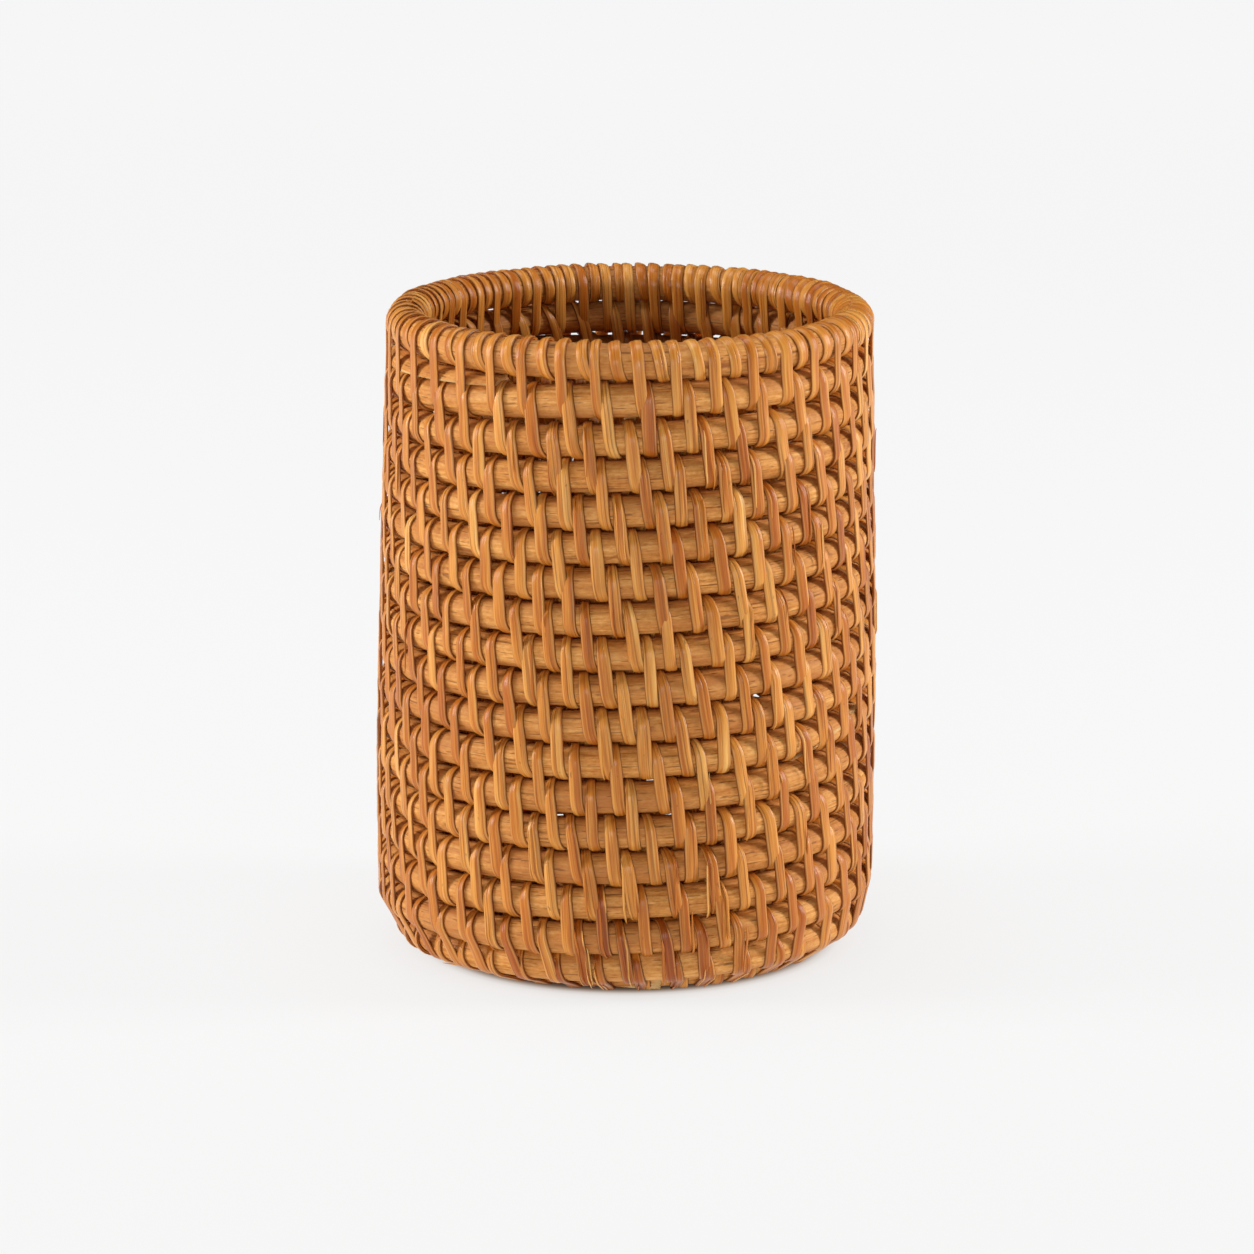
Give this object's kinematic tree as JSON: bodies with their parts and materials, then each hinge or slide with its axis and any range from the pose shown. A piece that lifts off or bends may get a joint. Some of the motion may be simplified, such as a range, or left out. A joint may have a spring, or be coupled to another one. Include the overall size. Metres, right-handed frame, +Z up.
{
  "type": "wastebasket",
  "caption": "Round coiled-rattan wastebasket: a pole wound in a flat base spiral and a rising wall helix, each coil lashed to the next with split cane, under a wrapped rim.",
  "frame": {"origin": "centre of the footprint, on the floor that the basket stands on", "axes": "+Z up along the basket's own axis; -Y is the side seen from the front; the wall helix climbs anticlockwise seen from above"},
  "size_m": [0.2349, 0.2348, 0.306],
  "materials": {
    "core_pole": "matt peeled rattan pole with fine lengthwise fibre and pores",
    "cane_lashing": "semi-gloss split cane, honey to red-brown, ribbed lengthwise"
  },
  "bodies": {
    "root": {"base_coil": "core_pole", "wall_coil_1": "core_pole", "wall_coil_2": "core_pole", "wall_coil_3": "core_pole", "wall_coil_4": "core_pole", "wall_coil_5": "core_pole", "rim_rod": "core_pole", "wall_lashing_02": "cane_lashing", "wall_lashing_03": "cane_lashing", "wall_lashing_04": "cane_lashing", "wall_lashing_05": "cane_lashing", "wall_lashing_06": "cane_lashing", "wall_lashing_07": "cane_lashing", "wall_lashing_08": "cane_lashing", "wall_lashing_09": "cane_lashing", "wall_lashing_10": "cane_lashing", "wall_lashing_11": "cane_lashing", "wall_lashing_12": "cane_lashing", "wall_lashing_13": "cane_lashing", "wall_lashing_14": "cane_lashing", "wall_lashing_15": "cane_lashing", "wall_lashing_16": "cane_lashing", "wall_lashing_17": "cane_lashing", "wall_lashing_18": "cane_lashing", "rim_wraps": "cane_lashing", "rim_lashing": "cane_lashing", "base_lashing_outer": "cane_lashing", "base_lashing_inner": "cane_lashing"}
  },
  "joints": []
}
